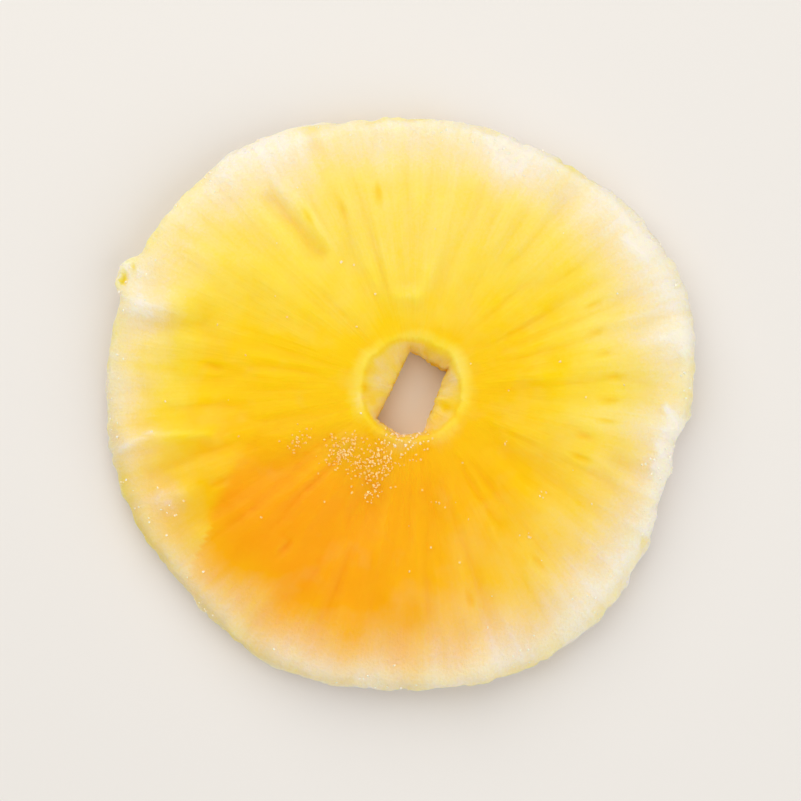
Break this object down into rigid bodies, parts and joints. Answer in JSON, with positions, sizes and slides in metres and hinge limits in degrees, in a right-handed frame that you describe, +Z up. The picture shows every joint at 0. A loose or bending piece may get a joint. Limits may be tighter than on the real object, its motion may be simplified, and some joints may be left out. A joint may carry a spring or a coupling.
{
  "type": "dried pineapple ring",
  "caption": "Dried, candied pineapple ring: a puckered round slice with a slanted slot where its core was, lying flat on its back.",
  "frame": {"origin": "under the middle of the slice's bounding box, on the surface that it lies on", "axes": "+Z up, out of the shown face; +Y towards the top of the pictured view, +X to its right"},
  "size_m": [0.0814, 0.079, 0.0093],
  "materials": {
    "candied_flesh": "satin"
  },
  "bodies": {
    "root": {"pineapple_ring": "candied_flesh"}
  },
  "joints": []
}
